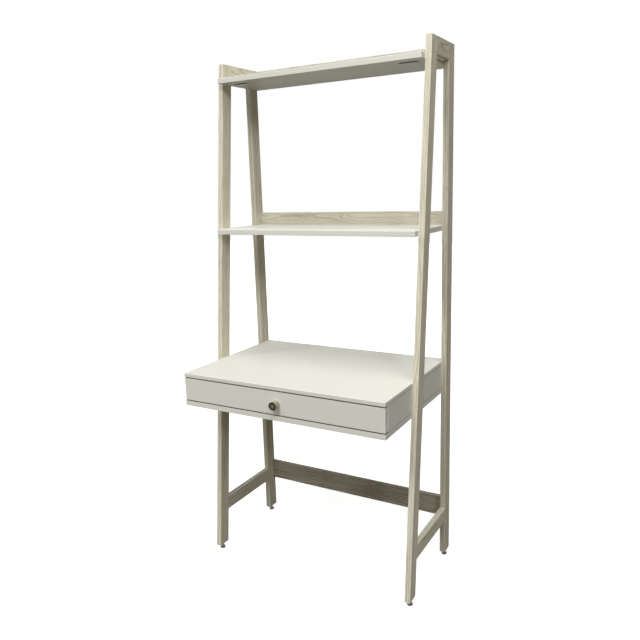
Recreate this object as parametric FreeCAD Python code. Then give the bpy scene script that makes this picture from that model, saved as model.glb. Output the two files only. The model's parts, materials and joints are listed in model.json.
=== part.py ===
import FreeCAD, Part
import math
import os

# Ladder-style wall desk: two A-shaped end frames carry a desk box with one drawer and two shelves.
# Millimetres. X runs along the wall, +Y points at the wall and +Z is up.
# The origin is on the floor, in the middle of the overall box.

# End frames
overall_height = 1829.0
frame_width = 808.0
leg_thickness = 20.0
leg_depth = 50.0
front_leg_floor_reach = 402.0
front_leg_top_reach = 210.0
leg_bottom_height = 20.0
end_panel_height = 54.0
stretcher_level = 150.0
side_stretcher_height = 50.0
frame_easing = 1.0

# Back rails
rail_thickness = 16.0
low_rail_height = 77.0
middle_rail_height = 46.0
top_rail_height = 49.0
wall_hole_radius = 2.75
wall_hole_sink_radius = 5.5
wall_hole_sink_depth = 3.0
wall_hole_half_spacing = 200.0

# Shelves
shelf_thickness = 18.0
middle_shelf_level = 1244.0
middle_shelf_depth = 301.0
top_shelf_depth = 248.0
panel_easing = 1.5
pocket_length = 68.0
pocket_width = 20.0
pocket_web = 30.0
pocket_bolt_height = 8.0

# Desk box
desk_height = 762.0
desk_depth = 538.0
desk_top_thickness = 14.0
desk_bottom_thickness = 19.0
desk_side_thickness = 16.0
desk_back_thickness = 12.0

# Drawer front, and the gaps round it
drawer_front_height = 80.0
drawer_front_thickness = 18.0
drawer_front_setback = 1.0
top_reveal = 3.0
bottom_reveal = 2.0
end_reveal = 1.0
stop_gap = 2.0

# Drawer box
drawer_wall = 12.0
drawer_side_drop = 12.0
drawer_side_lift = 7.0
drawer_tail = 3.0
drawer_bottom_thickness = 5.0
drawer_bottom_lift = 8.0
groove_depth = 6.0
groove_play = 0.5
groove_clearance = 0.1

# Drawer slides
slide_height = 45.0
slide_thickness = 12.7
slide_sheet = 1.2
slide_front_setback = 5.0
slide_rear_gap = 50.0
slide_lip = 2.6
cage_sheet = 0.5
cage_gap = 0.4
cage_strip = 0.8
ball_radius = 2.0
ball_clearance = 0.3
ball_hole_clearance = 0.2
ball_pitch = 32.0
balls_per_row = 6
cage_end = 20.0
slide_screw_inset = 30.0

# Knob
knob_length = 27.0
knob_face_radius = 14.0
knob_base_radius = 12.0
knob_rim = 1.5
knob_dish_depth = 0.8
knob_bore_depth = 11.0
knob_drop = 2.2

# Levelling feet
pad_radius = 10.0
pad_height = 6.0
pad_bevel = 1.0
pad_socket_depth = 4.0
stem_radius = 4.0
stem_length = 50.0
stem_collar_flats = 11.0
stem_collar_height = 5.0
stem_collar_gap = 1.0
stem_end_gap = 0.1
foot_insert_radius = 6.0
foot_insert_length = 16.0
foot_travel_up = 7.0
foot_bore_end_room = 5.0
foot_bore_clearance = 1.0

# Bolts, inserts and washers
bolt_radius = 3.0
bolt_hole_radius = 3.3
button_head_radius = 5.5
button_head_height = 3.3
hex_key_flats = 4.0
hex_key_depth = 2.0
hex_head_flats = 10.0
hex_head_height = 4.0
washer_radius = 6.0
washer_thickness = 1.2
insert_radius = 5.0
insert_length = 14.0
insert_hole_room = 1.0
bolt_tip_gap = 0.8
thread_clearance = 0.05
rear_bolt_inset = 14.0

# Screws
screw_radius = 2.0
screw_head_radius = 4.0
screw_head_height = 2.4
screw_bite = 22.0
front_screw_bite = 13.0
slide_screw_radius = 1.75
slide_screw_head_radius = 3.1
slide_screw_bite = 9.8
knob_screw_grip = 10.0
screw_clearance = 0.1
shelf_screw_spread = 250.0
front_screw_spread = 220.0
desk_fixing_inset = 78.0

# Dowels and cam fittings
dowel_radius = 4.0
dowel_length = 30.0
dowel_clearance = 0.1
dowel_spread = 13.0
dowel_in_leg = 12.0
dowel_in_desk_top = 8.0
small_dowel_radius = 3.0
small_dowel_length = 24.0
small_dowel_in_side = 8.0
small_dowel_edge = 13.0
cam_radius = 7.5
cam_floor = 3.5
cam_setback = 34.0
cam_bolt_radius = 3.0
cam_bolt_head_radius = 3.6
cam_bolt_head_length = 3.0
cam_bolt_in_leg = 11.0
cam_clearance = 0.15

# Places worked out from the sizes
wall_y = (desk_depth - drawer_front_setback + knob_length) / 2
half_width = frame_width / 2
inner_x = half_width - leg_thickness
leg_x = half_width - leg_thickness / 2

top_shelf_level = overall_height - end_panel_height
rail_bottoms = {"top": top_shelf_level, "middle": middle_shelf_level, "low": stretcher_level}
rail_heights = {"top": top_rail_height, "middle": middle_rail_height, "low": low_rail_height}

cavity_top = desk_height - desk_top_thickness
front_top = cavity_top - top_reveal
front_bottom = front_top - drawer_front_height
cavity_bottom = front_bottom - bottom_reveal
desk_bottom = cavity_bottom - desk_bottom_thickness
side_inner_x = inner_x - desk_side_thickness
side_mid_x = inner_x - desk_side_thickness / 2

front_face = desk_depth - drawer_front_setback
front_back = front_face - drawer_front_thickness
side_front = front_back - stop_gap
slide_front = side_front - slide_front_setback
slide_rear = desk_back_thickness + slide_rear_gap
drawer_rear = slide_rear - drawer_tail
sub_front_inside = front_back - drawer_wall
drawer_box_bottom = front_bottom + drawer_side_lift
drawer_box_top = front_top - drawer_side_drop
drawer_outer_x = side_inner_x - slide_thickness
drawer_inner_x = drawer_outer_x - drawer_wall
drawer_middle_z = (drawer_box_bottom + drawer_box_top) / 2
slide_top = drawer_middle_z + slide_height / 2
slide_bottom = drawer_middle_z - slide_height / 2

RIGHT = FreeCAD.Vector(1, 0, 0)
UP = FreeCAD.Vector(0, 0, 1)
TO_WALL = FreeCAD.Vector(0, 1, 0)
FORWARD = FreeCAD.Vector(0, -1, 0)


def at(x, reach, z):
    """Point at a reach in front of the wall plane."""
    return FreeCAD.Vector(x, wall_y - reach, z)


def leg_front(z):
    """Reach of a front leg's slanted front face at height z."""
    slant = (front_leg_top_reach - front_leg_floor_reach) / overall_height
    return front_leg_floor_reach + slant * z


def leg_back(z):
    return leg_front(z) - leg_depth


def leg_middle(z):
    return leg_front(z) - leg_depth / 2


def block(x_low, x_high, rear, front, z_low, z_high):
    corner = at(x_low, front, z_low)
    return Part.makeBox(x_high - x_low, front - rear, z_high - z_low, corner)


def eased(solid, radius):
    return solid.makeFillet(radius, solid.Edges)


def side_profile(points, easing):
    """Right-hand frame piece: an outline of (reach, height) points, as thick as a leg."""
    corners = [at(inner_x, reach, z) for reach, z in points]
    outline = Part.makePolygon(corners + corners[:1])
    return eased(Part.Face(outline).extrude(RIGHT * leg_thickness), easing)


def peg(radius, length, start, axis, spare=0.0):
    """Cylinder along an axis. Spare enlarges it all round, which makes its hole."""
    return Part.makeCylinder(radius + spare, length + 2 * spare, start - axis * spare, axis)


def flat_screw(start, axis, bite, radius=screw_radius, head=screw_head_radius, spare=0.0):
    """Countersunk screw whose flat head starts at a surface and points along the axis."""
    taper = head - radius
    cone = Part.makeCone(head + spare, radius + spare, taper, start, axis)
    return cone.fuse(Part.makeCylinder(radius + spare, bite + spare, start, axis))


def pan_screw(start, axis, bite, radius, head, head_height):
    """Screw whose round head stands on a surface, with its shank along the axis."""
    cap = Part.makeCylinder(head, head_height, start - axis * head_height, axis)
    return cap.fuse(Part.makeCylinder(radius, bite, start, axis))


def hex_prism(flats, length, start, axis):
    side = RIGHT if abs(axis.z) > 0.5 else UP
    other = axis.cross(side)
    radius = flats / math.sqrt(3)
    turns = [math.radians(60 * corner) for corner in range(7)]
    corners = [start + side * (radius * math.cos(a)) + other * (radius * math.sin(a)) for a in turns]
    return Part.Face(Part.makePolygon(corners)).extrude(axis * length)


def ring(outer, inner, length, start, axis):
    return Part.makeCylinder(outer, length, start, axis).cut(Part.makeCylinder(inner, length, start, axis))


def mirrored(shape):
    return shape.mirror(FreeCAD.Vector(0, 0, 0), RIGHT)


def both_sides(shapes):
    return list(shapes) + [mirrored(shape) for shape in shapes]


def drilled(board, tools):
    """Cuts a board with those tools that reach it."""
    near = [tool for tool in tools if board.BoundBox.intersect(tool.BoundBox)]
    return board.cut(near).Solids[0] if near else board


def save(name, *solids):
    shape = solids[0] if len(solids) == 1 else Part.makeCompound(solids)
    shape.exportStep(f"parts/{name}.step")


def save_pair(name, right_hand):
    save(f"right_{name}", right_hand)
    save(f"left_{name}", mirrored(right_hand))


os.makedirs("parts", exist_ok=True)

# Dowels of the right-hand side: frame joints, rail ends, then the desk top on its side and back
dowel_places = []
for low, height in ((top_shelf_level, end_panel_height), (stretcher_level, side_stretcher_height)):
    for z in (low + height / 2 - dowel_spread, low + height / 2 + dowel_spread):
        for joint in (leg_depth, leg_back(z)):
            dowel_places.append((at(leg_x, joint - dowel_length / 2, z), FORWARD))
for rail, low in rail_bottoms.items():
    middle = low + rail_heights[rail] / 2
    for z in (middle - dowel_spread, middle + dowel_spread):
        inside = inner_x + dowel_in_leg - dowel_length
        dowel_places.append((at(inside, rail_thickness / 2, z), RIGHT))
desk_dowel_z = cavity_top + dowel_in_desk_top - dowel_length
side_fixings = (desk_fixing_inset, side_front / 2, side_front - desk_fixing_inset)
for reach in side_fixings:
    dowel_places.append((at(side_mid_x, reach, desk_dowel_z), UP))
dowel_places.append((at(side_inner_x / 2, desk_back_thickness / 2, desk_dowel_z), UP))
dowels = [peg(dowel_radius, dowel_length, *place) for place in dowel_places]
dowel_holes = [peg(dowel_radius, dowel_length, *place, spare=dowel_clearance) for place in dowel_places]
save("wood_dowels", *both_sides(dowels))

# Bolts that hold the shelves: hex heads and washers in the pockets, inserts in the front legs
shelf_bottoms = (top_shelf_level - shelf_thickness, middle_shelf_level - shelf_thickness)
shelf_bolt_heights = [low + pocket_bolt_height for low in shelf_bottoms]
shelf_bolt_spots = [(leg_middle(z), z) for z in shelf_bolt_heights]
pocket_end = inner_x - pocket_web

# Bolts that hold the desk box: above and below the drawer slides, one pair in each leg
desk_bolt_heights = ((cavity_bottom + slide_bottom) / 2, (slide_top + cavity_top) / 2)
desk_bolt_spots = [(leg_middle(z), z) for z in desk_bolt_heights]
desk_bolt_spots += [(leg_depth - rear_bolt_inset, z) for z in desk_bolt_heights]


def hex_bolt(reach, z):
    head = at(pocket_end - washer_thickness - hex_head_height, reach, z)
    shank_start = head + RIGHT * hex_head_height
    shank = pocket_web + washer_thickness + insert_length - bolt_tip_gap
    bolt = hex_prism(hex_head_flats, hex_head_height, head, RIGHT)
    return bolt.fuse(Part.makeCylinder(bolt_radius, shank, shank_start, RIGHT))


def button_bolt(reach, z):
    start = at(side_inner_x - washer_thickness, reach, z)
    shank = desk_side_thickness + washer_thickness + insert_length - bolt_tip_gap
    bolt = pan_screw(start, RIGHT, shank, bolt_radius, button_head_radius, button_head_height)
    key = hex_prism(hex_key_flats, hex_key_depth, start - RIGHT * button_head_height, RIGHT)
    return bolt.cut(key)


def washer(bearing_x, reach, z):
    start = at(bearing_x - washer_thickness, reach, z)
    return ring(washer_radius, bolt_hole_radius, washer_thickness, start, RIGHT)


def insert(reach, z):
    bore = bolt_radius + thread_clearance
    return ring(insert_radius, bore, insert_length, at(inner_x, reach, z), RIGHT)


def insert_hole(reach, z):
    depth = insert_length + insert_hole_room
    return Part.makeCylinder(insert_radius, depth, at(inner_x, reach, z), RIGHT)


def bolt_hole(from_x, reach, z):
    return Part.makeCylinder(bolt_hole_radius, inner_x - from_x, at(from_x, reach, z), RIGHT)


def pocket(reach, z):
    """Routed slot, open below, with a round inner end and a flat end for the washer."""
    floor = z - pocket_bolt_height
    depth = pocket_bolt_height + washer_radius + screw_clearance
    round_x = pocket_end - pocket_length + pocket_width / 2
    half = pocket_width / 2
    slot = block(round_x, pocket_end, reach - half, reach + half, floor, floor + depth)
    return slot.fuse(Part.makeCylinder(half, depth, at(round_x, reach, floor), UP))


save("shelf_bolts", *both_sides([hex_bolt(*spot) for spot in shelf_bolt_spots]))
save("desk_bolts", *both_sides([button_bolt(*spot) for spot in desk_bolt_spots]))
washers = [washer(pocket_end, *spot) for spot in shelf_bolt_spots]
washers += [washer(side_inner_x, *spot) for spot in desk_bolt_spots]
save("bolt_washers", *both_sides(washers))
bolt_spots = shelf_bolt_spots + desk_bolt_spots
save("leg_inserts", *both_sides([insert(*spot) for spot in bolt_spots]))
bolt_cuts = [insert_hole(*spot) for spot in bolt_spots]
bolt_cuts += [bolt_hole(pocket_end, *spot) for spot in shelf_bolt_spots]
bolt_cuts += [bolt_hole(side_inner_x, *spot) for spot in desk_bolt_spots]
bolt_cuts += [pocket(*spot) for spot in shelf_bolt_spots]

# Cam fittings: a bolt from the rear leg ends in a cam that is let into the rail's back
rail_axis = rail_thickness / 2
cam_depth = rail_thickness - cam_floor
cam_x = inner_x - cam_setback
cam_heights = [rail_bottoms[rail] + rail_heights[rail] / 2 for rail in rail_bottoms]


def cam_bolt(z):
    head = Part.makeCylinder(cam_bolt_head_radius, cam_bolt_head_length, at(cam_x, rail_axis, z), RIGHT)
    shank = cam_setback + cam_bolt_in_leg
    return head.fuse(Part.makeCylinder(cam_bolt_radius, shank, at(cam_x, rail_axis, z), RIGHT))


def cam_bore(z):
    """Way for the cam bolt, from inside the cam to the end of its thread in the leg."""
    start = at(cam_x, rail_axis, z)
    head = peg(cam_bolt_head_radius, cam_setback, start, RIGHT, cam_clearance)
    return head.fuse(peg(cam_bolt_radius, cam_setback + cam_bolt_in_leg, start, RIGHT, cam_clearance))


def cam(z):
    disc = Part.makeCylinder(cam_radius, cam_depth, at(cam_x, 0, z), FORWARD)
    return disc.cut(cam_bore(z))


save("rail_cam_bolts", *both_sides([cam_bolt(z) for z in cam_heights]))
save("rail_cams", *both_sides([cam(z) for z in cam_heights]))
cam_cuts = [cam_bore(z) for z in cam_heights]
cam_seat_radius = cam_radius + cam_clearance
cam_cuts += [Part.makeCylinder(cam_seat_radius, cam_depth, at(cam_x, 0, z), FORWARD) for z in cam_heights]

# Screws from below: shelves to their rails, desk bottom to the sides and back
screw_rows = (-shelf_screw_spread, 0.0, shelf_screw_spread)
shelf_screw_starts = [at(x, rail_axis, low) for low in shelf_bottoms for x in screw_rows]
desk_screw_starts = [at(x, desk_back_thickness / 2, desk_bottom) for x in screw_rows]
side_rows = (-side_mid_x, side_mid_x)
desk_screw_starts += [at(x, reach, desk_bottom) for reach in side_fixings for x in side_rows]


def panel_screws(starts, panel, spare=0.0):
    return [flat_screw(start, UP, panel + screw_bite, spare=spare) for start in starts]


save("shelf_screws", *panel_screws(shelf_screw_starts, shelf_thickness))
save("desk_screws", *panel_screws(desk_screw_starts, desk_bottom_thickness))
screw_cuts = panel_screws(shelf_screw_starts, shelf_thickness, screw_clearance)
screw_cuts += panel_screws(desk_screw_starts, desk_bottom_thickness, screw_clearance)

# Holes for screws into the wall, through the top rail
wall_hole_z = top_shelf_level + top_rail_height / 2
wall_hole_mouth = at(wall_hole_half_spacing, rail_thickness, wall_hole_z)
wall_hole = Part.makeCylinder(wall_hole_radius, rail_thickness, wall_hole_mouth, TO_WALL).fuse(
    Part.makeCone(wall_hole_sink_radius, wall_hole_radius, wall_hole_sink_depth, wall_hole_mouth, TO_WALL))

# Levelling feet: the pad stands on the floor, the stem turns in it and in an insert in the leg
stem_start = pad_height - pad_socket_depth + stem_end_gap
foot_spots = {"front": leg_middle(leg_bottom_height), "rear": leg_depth / 2}


def foot_pad(reach):
    edge = pad_radius - pad_bevel
    shoulder = pad_height - pad_bevel
    outline = [(0, 0), (edge, 0), (pad_radius, pad_bevel),
               (pad_radius, shoulder), (edge, pad_height), (0, pad_height)]
    corners = [at(leg_x + radius, reach, z) for radius, z in outline]
    face = Part.Face(Part.makePolygon(corners + corners[:1]))
    body = face.revolve(at(leg_x, reach, 0), UP, 360)
    socket = Part.makeCylinder(stem_radius + thread_clearance, pad_socket_depth,
                               at(leg_x, reach, pad_height - pad_socket_depth), UP)
    return body.cut(socket)


def foot_stem(reach):
    stem = Part.makeCylinder(stem_radius, stem_length, at(leg_x, reach, stem_start), UP)
    collar_start = at(leg_x, reach, pad_height + stem_collar_gap)
    return stem.fuse(hex_prism(stem_collar_flats, stem_collar_height, collar_start, UP))


def foot_insert(reach):
    bore = stem_radius + thread_clearance
    return ring(foot_insert_radius, bore, foot_insert_length, at(leg_x, reach, leg_bottom_height), UP)


def foot_bore(reach):
    mouth = at(leg_x, reach, leg_bottom_height)
    seat = Part.makeCylinder(foot_insert_radius, foot_insert_length, mouth, UP)
    depth = stem_start + stem_length + foot_travel_up + foot_bore_end_room - leg_bottom_height
    return seat.fuse(Part.makeCylinder(stem_radius + foot_bore_clearance, depth, mouth, UP))


for spot, reach in foot_spots.items():
    save_pair(f"{spot}_foot_pad", foot_pad(reach))
    save_pair(f"{spot}_foot_stem", foot_stem(reach))
save("foot_inserts", *both_sides([foot_insert(reach) for reach in foot_spots.values()]))
foot_cuts = [foot_bore(reach) for reach in foot_spots.values()]

right_cuts = dowel_holes + bolt_cuts + cam_cuts + foot_cuts + [wall_hole]
all_cuts = both_sides(right_cuts) + screw_cuts

# End frames
front_leg = side_profile([(leg_front(leg_bottom_height), leg_bottom_height),
                          (leg_front(overall_height), overall_height),
                          (leg_back(overall_height), overall_height),
                          (leg_back(leg_bottom_height), leg_bottom_height)], frame_easing)
rear_leg = eased(block(inner_x, half_width, 0, leg_depth, leg_bottom_height, overall_height), frame_easing)


def between_legs(low, high):
    """Piece between the upright rear leg and the slanted front leg."""
    outline = [(leg_depth, low), (leg_back(low), low), (leg_back(high), high), (leg_depth, high)]
    return side_profile(outline, frame_easing)


save_pair("front_leg", drilled(front_leg, right_cuts))
save_pair("rear_leg", drilled(rear_leg, right_cuts))
save_pair("end_panel", drilled(between_legs(top_shelf_level, overall_height), right_cuts))
side_stretcher = between_legs(stretcher_level, stretcher_level + side_stretcher_height)
save_pair("side_stretcher", drilled(side_stretcher, right_cuts))

# Back rails
for rail, low in rail_bottoms.items():
    board = block(-inner_x, inner_x, 0, rail_thickness, low, low + rail_heights[rail])
    save(f"{rail}_rail", drilled(eased(board, frame_easing), all_cuts))

# Shelves
for name, level, depth in (("top", top_shelf_level, top_shelf_depth),
                           ("middle", middle_shelf_level, middle_shelf_depth)):
    board = block(-inner_x, inner_x, 0, depth, level - shelf_thickness, level)
    save(f"{name}_shelf", drilled(eased(board, panel_easing), all_cuts))

# Desk box
desk_top = block(-inner_x, inner_x, 0, desk_depth, cavity_top, desk_height)
save("desk_top", drilled(eased(desk_top, panel_easing), all_cuts))
desk_floor = block(-inner_x, inner_x, 0, desk_depth, desk_bottom, cavity_bottom)
save("desk_bottom", drilled(eased(desk_floor, panel_easing), all_cuts))
desk_side = eased(block(side_inner_x, inner_x, 0, side_front, cavity_bottom, cavity_top), panel_easing)
desk_back = block(-side_inner_x, side_inner_x, 0, desk_back_thickness, cavity_bottom, cavity_top)
save("desk_back", drilled(desk_back, all_cuts))

# Drawer slides of the right-hand side. Across is measured from the desk side towards the drawer
outer_half = slide_height / 2
outer_ball_z = outer_half - slide_sheet - ball_clearance - ball_radius
middle_half = outer_ball_z - ball_radius - ball_clearance
inner_ball_z = middle_half - slide_sheet - ball_clearance - ball_radius
inner_half = inner_ball_z - ball_radius - ball_clearance
outer_cage_across = slide_sheet + cage_gap
middle_web_across = outer_cage_across + cage_sheet + cage_gap
inner_cage_across = middle_web_across + slide_sheet + cage_gap
inner_tip_across = inner_cage_across + cage_sheet + cage_gap
inner_web_across = slide_thickness - slide_sheet
ball_across = inner_tip_across + ball_radius + ball_clearance
outer_tip_across = inner_web_across
middle_tip_across = ball_across + ball_radius + ball_clearance
slide_middle = (slide_rear + slide_front) / 2


def slide_section(points, rear, front):
    """Rolled section of (across, up) points, run from rear to front."""
    corners = [at(side_inner_x - across, rear, drawer_middle_z + up) for across, up in points]
    outline = Part.makePolygon(corners + corners[:1])
    return Part.Face(outline).extrude(FORWARD * (front - rear))


def channel(web, tip, half, sheet, lip=0.0):
    """Section of a C channel: its web, two flanges to the tip and, if asked for, lips turned inwards."""
    inside = 1 if tip > web else -1
    web_face = web + inside * sheet
    lower = [(web, -half), (tip, -half)]
    if lip:
        lip_face = tip - inside * sheet
        lower += [(tip, lip - half), (lip_face, lip - half), (lip_face, sheet - half)]
    else:
        lower += [(tip, sheet - half)]
    lower += [(web_face, sheet - half)]
    return lower + [(across, -up) for across, up in reversed(lower)]


def ball_cage(web, level):
    """Bent strip that carries a row of balls above and a row below."""
    half_length = ball_pitch * (balls_per_row - 1) / 2 + cage_end
    tip = ball_across + ball_radius
    section = channel(web, tip, level + cage_strip / 2, cage_strip)
    cage = slide_section(section, slide_middle - half_length, slide_middle + half_length)
    spare = block(side_inner_x - tip, side_inner_x - web - cage_sheet, slide_middle - half_length,
                  slide_middle + half_length, drawer_middle_z - level + cage_strip / 2,
                  drawer_middle_z + level - cage_strip / 2)
    cage = cage.cut(spare)
    centres = []
    for row in (-level, level):
        for ball in range(balls_per_row):
            reach = slide_middle + ball_pitch * (ball - (balls_per_row - 1) / 2)
            centres.append(at(side_inner_x - ball_across, reach, drawer_middle_z + row))
    holes = [Part.makeSphere(ball_radius + ball_hole_clearance, centre) for centre in centres]
    return [cage.cut(holes)] + [Part.makeSphere(ball_radius, centre) for centre in centres]


slide_screw_reaches = (slide_rear + slide_screw_inset, slide_middle, slide_front - slide_screw_inset)


def desk_slide_screws(spare=0.0):
    starts = [at(side_inner_x - slide_sheet, reach, drawer_middle_z) for reach in slide_screw_reaches]
    bite = slide_sheet + slide_screw_bite
    sizes = (bite, slide_screw_radius, slide_screw_head_radius, spare)
    return [flat_screw(start, RIGHT, *sizes) for start in starts]


def drawer_slide_screws(spare=0.0):
    starts = [at(drawer_outer_x + slide_sheet, reach, drawer_middle_z) for reach in slide_screw_reaches]
    bite = slide_sheet + slide_screw_bite + spare
    sizes = (bite, slide_screw_radius + spare, slide_screw_head_radius, slide_sheet)
    return [pan_screw(start, RIGHT * -1, *sizes) for start in starts]


outer_section = channel(0.0, outer_tip_across, outer_half, slide_sheet, slide_lip)
middle_section = channel(middle_web_across, middle_tip_across, middle_half, slide_sheet)
inner_section = channel(slide_thickness, inner_tip_across, inner_half, slide_sheet)
outer_member = slide_section(outer_section, slide_rear, slide_front)
inner_member = slide_section(inner_section, slide_rear, slide_front)
save_pair("slide_outer", drilled(outer_member, desk_slide_screws(screw_clearance)))
save_pair("slide_middle", slide_section(middle_section, slide_rear, slide_front))
save_pair("slide_inner", drilled(inner_member, drawer_slide_screws(screw_clearance)))
save_pair("outer_ball_cage", Part.makeCompound(ball_cage(outer_cage_across, outer_ball_z)))
save_pair("inner_ball_cage", Part.makeCompound(ball_cage(inner_cage_across, inner_ball_z)))
save("desk_slide_screws", *both_sides(desk_slide_screws()))
save("drawer_slide_screws", *both_sides(drawer_slide_screws()))
save_pair("desk_side", drilled(desk_side, all_cuts + desk_slide_screws(screw_clearance)))

# Drawer: a box of four walls and a thin bottom, with a front that covers the whole opening
bottom_low = drawer_box_bottom + drawer_bottom_lift
bottom_high = bottom_low + drawer_bottom_thickness
bottom_x = drawer_inner_x + groove_depth - groove_play
bottom_rear = drawer_rear + drawer_wall - groove_depth + groove_play
bottom_front = sub_front_inside + groove_depth - groove_play
save("drawer_bottom", block(-bottom_x, bottom_x, bottom_rear, bottom_front, bottom_low, bottom_high))
groove_x = bottom_x + groove_play
groove = block(-groove_x, groove_x, bottom_rear - groove_play, bottom_front + groove_play,
               bottom_low - groove_clearance, bottom_high + groove_clearance)

corner_reaches = (drawer_rear + drawer_wall / 2, front_back - drawer_wall / 2)
corner_heights = (bottom_high + small_dowel_edge, drawer_box_top - small_dowel_edge)
corner_x = drawer_inner_x + small_dowel_in_side - small_dowel_length
corner_places = [(at(corner_x, reach, z), RIGHT) for reach in corner_reaches for z in corner_heights]


def corner_pegs(spare=0.0):
    return [peg(small_dowel_radius, small_dowel_length, *place, spare=spare) for place in corner_places]


save("drawer_dowels", *both_sides(corner_pegs()))

front_screw_rows = (-front_screw_spread, front_screw_spread)
front_screw_starts = [at(x, sub_front_inside, drawer_middle_z) for x in front_screw_rows]
knob_z = front_bottom + drawer_front_height / 2 - knob_drop
knob_screw_start = at(0, sub_front_inside, knob_z)
knob_screw_length = drawer_wall + drawer_front_thickness + knob_screw_grip


def inside_screw(start, length, spare=0.0):
    radius = screw_radius + spare
    return pan_screw(start, FORWARD, length + spare, radius, screw_head_radius, screw_head_height)


front_screw_length = drawer_wall + front_screw_bite
save("drawer_front_screws", *[inside_screw(start, front_screw_length) for start in front_screw_starts])
save("knob_screw", inside_screw(knob_screw_start, knob_screw_length))
front_cuts = [inside_screw(start, front_screw_length, screw_clearance) for start in front_screw_starts]
front_cuts += [inside_screw(knob_screw_start, knob_screw_length, screw_clearance)]
drawer_cuts = both_sides(corner_pegs(dowel_clearance) + drawer_slide_screws(screw_clearance))
drawer_cuts += front_cuts + [groove]

drawer_levels = (drawer_box_bottom, drawer_box_top)
drawer_side = block(drawer_inner_x, drawer_outer_x, drawer_rear, front_back, *drawer_levels)
save_pair("drawer_side", drilled(drawer_side, drawer_cuts))
for name, rear, front in (("drawer_sub_front", sub_front_inside, front_back),
                          ("drawer_back", drawer_rear, drawer_rear + drawer_wall)):
    wall = block(-drawer_inner_x, drawer_inner_x, rear, front, *drawer_levels)
    save(name, drilled(wall, drawer_cuts))
front_x = inner_x - end_reveal
drawer_front = block(-front_x, front_x, front_back, front_face, front_bottom, front_top)
save("drawer_front", drilled(eased(drawer_front, panel_easing), front_cuts))

# Knob: a turned drum, a little wider at its dished face than at its base
knob_tip = front_face + knob_length
knob_outline = [at(0, front_face, knob_z),
                at(knob_base_radius, front_face, knob_z),
                at(knob_face_radius, knob_tip - knob_rim, knob_z),
                at(knob_face_radius - knob_rim, knob_tip, knob_z),
                at(knob_face_radius - 2 * knob_rim, knob_tip, knob_z),
                at(knob_face_radius - 3 * knob_rim, knob_tip - knob_dish_depth, knob_z),
                at(0, knob_tip - knob_dish_depth, knob_z)]
knob = Part.Face(Part.makePolygon(knob_outline + knob_outline[:1])).revolve(knob_outline[0], FORWARD, 360)
knob_bore = Part.makeCylinder(screw_radius + thread_clearance, knob_bore_depth, knob_outline[0], FORWARD)
save("knob", knob.cut(knob_bore))
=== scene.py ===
# %% [markdown] # A ladder-style wall desk, dressed for its portrait Two A-shaped wooden end frames
# carry a lacquered desk box with one wide drawer and two lacquered shelves. This lesson adds what
# construction alone can't show: the finish of each surface, and the small turned, rolled and threaded
# pieces whose real shape is richer than a plain solid. The box round the bare construction is kept.

# %% Load the frame
import json
import math

import bmesh
import bpy
from mathutils import Euler, Matrix, Vector


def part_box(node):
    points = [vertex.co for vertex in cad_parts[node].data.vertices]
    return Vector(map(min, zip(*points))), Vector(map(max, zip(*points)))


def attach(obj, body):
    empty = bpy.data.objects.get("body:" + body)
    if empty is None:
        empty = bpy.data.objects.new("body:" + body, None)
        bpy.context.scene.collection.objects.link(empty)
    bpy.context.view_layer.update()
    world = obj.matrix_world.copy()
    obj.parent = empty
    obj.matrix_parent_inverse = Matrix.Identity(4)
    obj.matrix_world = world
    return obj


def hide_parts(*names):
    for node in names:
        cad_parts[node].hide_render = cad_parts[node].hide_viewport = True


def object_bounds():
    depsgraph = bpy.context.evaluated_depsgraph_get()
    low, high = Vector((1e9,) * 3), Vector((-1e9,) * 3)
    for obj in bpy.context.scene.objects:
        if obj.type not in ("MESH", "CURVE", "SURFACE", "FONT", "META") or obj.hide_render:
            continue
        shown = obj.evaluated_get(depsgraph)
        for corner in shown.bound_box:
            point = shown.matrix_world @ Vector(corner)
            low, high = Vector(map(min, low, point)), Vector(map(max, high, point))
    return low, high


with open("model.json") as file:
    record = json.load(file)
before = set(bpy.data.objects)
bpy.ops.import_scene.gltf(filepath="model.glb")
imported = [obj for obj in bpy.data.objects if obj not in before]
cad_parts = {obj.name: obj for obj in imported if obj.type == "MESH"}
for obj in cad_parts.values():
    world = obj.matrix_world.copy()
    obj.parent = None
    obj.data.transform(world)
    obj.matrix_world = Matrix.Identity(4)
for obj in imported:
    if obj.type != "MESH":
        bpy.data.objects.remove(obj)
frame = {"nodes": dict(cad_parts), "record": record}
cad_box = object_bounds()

nodes = frame["nodes"]
scene = bpy.context.scene
MM = 0.001


# %% [markdown]
# ## The camera
#
# The portrait was taken standing, from the right-hand front, looking a little down. Its place and
# lens were found by fitting the desk's straight edges to the picture. A camera looks along its own
# minus Z, so the three columns of its matrix are right, up and backwards. The roll is the slight tilt
# of a picture taken by hand, and the small shift says that the picture was cropped off centre.

# %% Camera
CAMERA_PLACE = Vector((1.1307, -1.9372, 1.3984))
CAMERA_YAW = math.radians(30.4)
CAMERA_PITCH = math.radians(-11.8)
CAMERA_ROLL = math.radians(-1.9)
CAMERA_SENSOR, CAMERA_LENS = 36.0, 36.87
CAMERA_SHIFT = (0.0125, 0.0006)


def camera_matrix(place, yaw, pitch, roll):
    level = Vector((-math.sin(yaw), math.cos(yaw), 0.0)) * math.cos(pitch)
    forward = level + Vector((0.0, 0.0, math.sin(pitch)))
    right = Vector((math.cos(yaw), math.sin(yaw), 0.0))
    up = right.cross(forward)
    rolled_right = right * math.cos(roll) + up * math.sin(roll)
    rolled_up = up * math.cos(roll) - right * math.sin(roll)
    turn = Matrix((rolled_right, rolled_up, -forward)).transposed()
    return Matrix.Translation(place) @ turn.to_4x4()


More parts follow.
